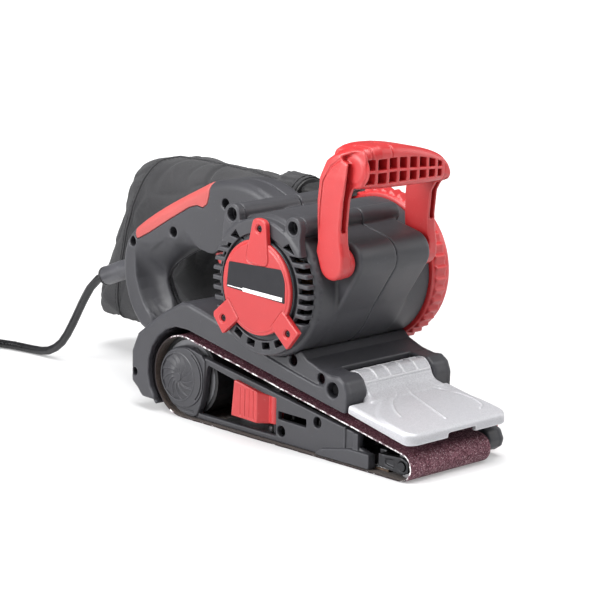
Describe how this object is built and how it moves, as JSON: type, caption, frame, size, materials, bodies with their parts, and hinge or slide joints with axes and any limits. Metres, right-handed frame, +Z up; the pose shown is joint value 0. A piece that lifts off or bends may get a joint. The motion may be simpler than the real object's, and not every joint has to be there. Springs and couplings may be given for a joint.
{
  "type": "handheld belt sander",
  "caption": "Handheld electric belt sander with a rear D-handle, pivoting front handle, hinged nose cover, belt-tension lever, dust bag and mains cord.",
  "frame": {"origin": "middle of the belt's flat sanding face, which lies on Z = 0", "axes": "+X towards the nose roller, +Y towards the drive side with the dust bag, +Z up"},
  "size_m": [0.5208, 0.309, 0.2105],
  "materials": {
    "dark_plastic": "fine matte texture",
    "black_plastic": "matte",
    "red_plastic": "satin gloss",
    "red_soft": "soft-touch matte",
    "silver_paint": "silver paint on a casting",
    "steel": "turned or ground",
    "aluminium": "as machined",
    "copper": "turned copper segments",
    "iron": "laminated or sintered iron",
    "graphite": "pressed carbon",
    "rubber": "matte",
    "grit": "abrasive grit on cloth",
    "cork": "cork and graphite sheet",
    "fabric": "woven, dull"
  },
  "bodies": {
    "sander": {"sanding_belt": "grit", "drum_bearing_near": "steel", "drum_bearing_far": "steel", "tension_spring": "steel", "belt_frame": "dark_plastic", "drum_cap": "dark_plastic", "lever_pin": "steel", "platen_pad": "cork", "platen": "steel", "base_frame": "dark_plastic", "cover_hinge_pin": "steel", "housing_right": "dark_plastic", "housing_left": "dark_plastic", "handle_grip_pad": "red_soft", "handle_pivot_near": "steel", "handle_pivot_far": "steel", "switch_module": "black_plastic", "cord_clamp": "black_plastic", "motor_end_cap": "dark_plastic", "label_plate": "red_plastic", "plate_screw_1": "steel", "plate_screw_2": "steel", "plate_screw_3": "steel", "stator": "iron", "bearing_near": "steel", "bearing_far": "steel", "brush_holder_upper": "black_plastic", "brush_holder_lower": "black_plastic", "carbon_brush_upper": "graphite", "carbon_brush_lower": "graphite", "drive_belt": "rubber", "drive_cover": "red_plastic", "dust_outlet": "black_plastic", "strain_relief": "rubber", "cord_tube": "rubber", "cord_coil": "rubber", "cord_tail": "rubber", "cord_tie": "black_plastic", "plug": "rubber"},
    "armature": {"armature_core": "iron", "armature_shaft": "steel", "commutator": "copper", "cooling_fan": "black_plastic", "drive_pulley": "steel"},
    "drum": {"drum_core": "aluminium", "drum_sleeve": "rubber", "drum_shaft": "steel", "driven_pulley": "black_plastic"},
    "roller_fork": {"roller_yoke": "iron", "roller_axle": "steel"},
    "nose_roller": {"front_roller": "steel"},
    "belt_lever": {"tension_lever": "red_plastic"},
    "nose_lid": {"nose_cover": "silver_paint"},
    "grip": {"front_handle": "red_plastic"},
    "switch_trigger": {"trigger": "red_plastic"},
    "trigger_lock": {"lock_button": "red_plastic"},
    "tracking": {"tracking_knob": "red_plastic"},
    "bag": {"dust_bag": "fabric", "bag_collar": "black_plastic"}
  },
  "joints": [
    {"name": "armature_spin", "type": "hinge", "parent": "sander", "child": "armature", "pos_m": [-0.009, 0, 0.109], "axis": [0, 1, 0], "continuous": true},
    {"name": "drum_spin", "type": "hinge", "parent": "sander", "child": "drum", "pos_m": [-0.1, 0, 0.0288], "axis": [0, 1, 0], "continuous": true},
    {"name": "fork_slide", "type": "slide", "parent": "sander", "child": "roller_fork", "axis": [-1, 0, 0], "range_m": [0, 0.006], "deforming": ["tension_spring"]},
    {"name": "roller_spin", "type": "hinge", "parent": "roller_fork", "child": "nose_roller", "pos_m": [0.1045, 0, 0.0095], "axis": [0, 1, 0], "continuous": true},
    {"name": "lever_turn", "type": "hinge", "parent": "sander", "child": "belt_lever", "pos_m": [-0.0162, -0.029, 0.022], "axis": [0, 0, 1], "range_deg": [0, 80]},
    {"name": "nose_lid_turn", "type": "hinge", "parent": "sander", "child": "nose_lid", "pos_m": [0.0475, 0, 0.049], "axis": [0, -1, 0], "range_deg": [0, 50]},
    {"name": "front_handle_turn", "type": "hinge", "parent": "sander", "child": "grip", "pos_m": [0.045, 0, 0.131], "axis": [0, 1, 0], "range_deg": [0, 90]},
    {"name": "trigger_pull", "type": "hinge", "parent": "sander", "child": "switch_trigger", "pos_m": [-0.099, 0.004, 0.1185], "axis": [0, 1, 0], "range_deg": [0, 10], "stiffness_Nm_per_rad": 0.6, "springref_deg": -8.59},
    {"name": "lock_press", "type": "slide", "parent": "sander", "child": "trigger_lock", "axis": [0, -1, 0], "range_m": [0, 0.003], "stiffness_N_per_m": 500, "springref_m": -0.002},
    {"name": "tracking_turn", "type": "hinge", "parent": "sander", "child": "tracking", "pos_m": [0.084, 0.06, 0.014], "axis": [0, 1, 0], "range_deg": [-150, 150]},
    {"name": "bag_pull", "type": "slide", "parent": "sander", "child": "bag", "axis": [-1, 0, 0], "range_m": [0, 0.022]}
  ],
  "couplings": [
    {"joint": "drum_spin", "follows": "armature_spin", "ratio": 0.35},
    {"joint": "roller_spin", "follows": "armature_spin", "ratio": 1.1447},
    {"joint": "lever_turn", "follows": "fork_slide", "rad_per_m": 232.7}
  ]
}
